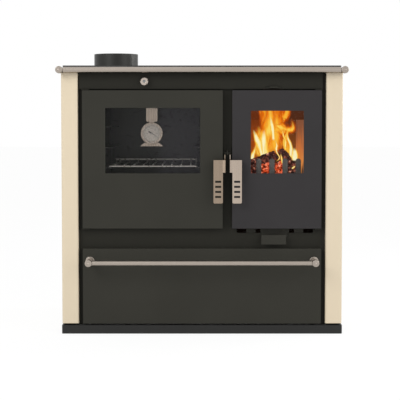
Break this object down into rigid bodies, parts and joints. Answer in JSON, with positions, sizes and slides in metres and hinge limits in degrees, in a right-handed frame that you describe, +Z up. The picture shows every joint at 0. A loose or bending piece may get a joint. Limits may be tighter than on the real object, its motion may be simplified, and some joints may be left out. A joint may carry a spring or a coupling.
{
  "type": "wood cookstove",
  "caption": "Wood-burning cookstove with a glazed oven door, a glazed firebox door, a wood drawer, a hob with a guard rail and a flue collar.",
  "frame": {"origin": "centre of the overall box on the floor, under the plinth", "axes": "+Z up, the doors face -Y, +X to the right of someone facing the doors"},
  "size_m": [0.918, 0.675, 0.907],
  "materials": {
    "cast_black": "fine matt heat-resistant paint, charcoal",
    "frame_black": "matt black heat-resistant paint",
    "enamel": "smooth cream vitreous enamel",
    "stainless": "satin stainless steel",
    "chrome": "bright plated",
    "glazing": "dark ceramic glass",
    "lens": "clear glass",
    "firebrick": "vermiculite board, sooted",
    "rope": "glass-fibre rope seal",
    "dial_white": "printed dial",
    "needle_red": "painted pointer",
    "galvanised": "zinc-coated sheet"
  },
  "bodies": {
    "casing": {"plinth": "frame_black", "side_panel_left": "enamel", "side_panel_right": "enamel", "front_frame": "frame_black", "fascia": "frame_black", "rear_panel": "galvanised", "drawer_bay_floor": "frame_black", "hob_plate": "cast_black", "flue_collar": "cast_black", "hob_rail_front": "stainless", "hob_rail_left": "stainless", "hob_rail_right": "stainless", "rail_corner_left": "stainless", "rail_corner_right": "stainless", "oven_liner": "galvanised", "oven_rack": "chrome", "firebox_shell": "frame_black", "firebrick_left": "firebrick", "firebrick_right": "firebrick", "firebrick_back": "firebrick", "grate": "cast_black", "log_guard": "cast_black", "ash_pan": "galvanised", "latch_keeper": "frame_black", "hinge_oven_upper": "frame_black", "hinge_oven_lower": "frame_black", "hinge_firebox_upper": "frame_black", "hinge_firebox_lower": "frame_black", "drawer_runner_left": "galvanised", "drawer_runner_right": "galvanised"},
    "oven_door": {"oven_door_panel": "cast_black", "oven_door_inner": "cast_black", "oven_door_glass": "glazing", "oven_door_gasket": "rope", "oven_latch_bracket": "frame_black", "thermometer_bracket": "stainless", "thermometer_case": "stainless", "thermometer_dial": "dial_white", "thermometer_lens": "lens"},
    "oven_latch": {"oven_handle": "stainless"},
    "firebox_door": {"firebox_door_panel": "cast_black", "firebox_door_inner": "cast_black", "firebox_door_glass": "glazing", "firebox_door_gasket": "rope", "firebox_latch_bracket": "frame_black"},
    "firebox_latch": {"firebox_handle": "stainless"},
    "pointer": {"thermometer_pointer": "needle_red"},
    "drawer": {"drawer_front": "cast_black", "drawer_box": "frame_black", "drawer_rail": "stainless", "drawer_post_left": "stainless", "drawer_post_right": "stainless"},
    "damper_pull": {"damper_knob": "chrome", "damper_rod": "galvanised"},
    "bypass_flap": {"damper_flap": "galvanised"},
    "primary_air": {"primary_air_slide": "cast_black"},
    "secondary_air": {"secondary_air_slide": "cast_black"},
    "cooking_ring": {"hob_ring": "cast_black"},
    "cooking_lid": {"hob_lid": "cast_black"}
  },
  "joints": [
    {"name": "oven_door_hinge", "type": "hinge", "parent": "casing", "child": "oven_door", "pos_m": [-0.371, -0.2565, 0.554], "axis": [0, 0, -1], "range_deg": [0, 110]},
    {"name": "firebox_door_hinge", "type": "hinge", "parent": "casing", "child": "firebox_door", "pos_m": [0.371, -0.2565, 0.554], "axis": [0, 0, 1], "range_deg": [0, 110]},
    {"name": "oven_latch_pivot", "type": "hinge", "parent": "oven_door", "child": "oven_latch", "pos_m": [0.055, -0.2765, 0.545], "axis": [-1, 0, 0], "range_deg": [0, 25]},
    {"name": "firebox_latch_pivot", "type": "hinge", "parent": "firebox_door", "child": "firebox_latch", "pos_m": [0.106, -0.2765, 0.545], "axis": [-1, 0, 0], "range_deg": [0, 25]},
    {"name": "pointer_turn", "type": "hinge", "parent": "oven_door", "child": "pointer", "pos_m": [-0.159, -0.2535, 0.637], "axis": [0, 1, 0], "range_deg": [-60, 200]},
    {"name": "drawer_slide", "type": "slide", "parent": "casing", "child": "drawer", "axis": [0, -1, 0], "range_m": [0, 0.4]},
    {"name": "damper_pull_slide", "type": "slide", "parent": "casing", "child": "damper_pull", "axis": [0, -1, 0], "range_m": [0, 0.04]},
    {"name": "bypass_flap_turn", "type": "hinge", "parent": "casing", "child": "bypass_flap", "pos_m": [-0.15, 0.1385, 0.834], "axis": [-1, 0, 0], "range_deg": [0, 45]},
    {"name": "primary_air_slide", "type": "slide", "parent": "casing", "child": "primary_air", "axis": [1, 0, 0], "range_m": [-0.024, 0.024]},
    {"name": "secondary_air_slide", "type": "slide", "parent": "casing", "child": "secondary_air", "axis": [1, 0, 0], "range_m": [-0.012, 0.012]},
    {"name": "cooking_ring_lift", "type": "slide", "parent": "casing", "child": "cooking_ring", "axis": [0, 0, 1], "range_m": [0, 0.12]},
    {"name": "cooking_lid_lift", "type": "slide", "parent": "cooking_ring", "child": "cooking_lid", "axis": [0, 0, 1], "range_m": [0, 0.12]}
  ],
  "couplings": [
    {"joint": "bypass_flap_turn", "follows": "damper_pull_slide", "rad_per_m": 19.6}
  ]
}
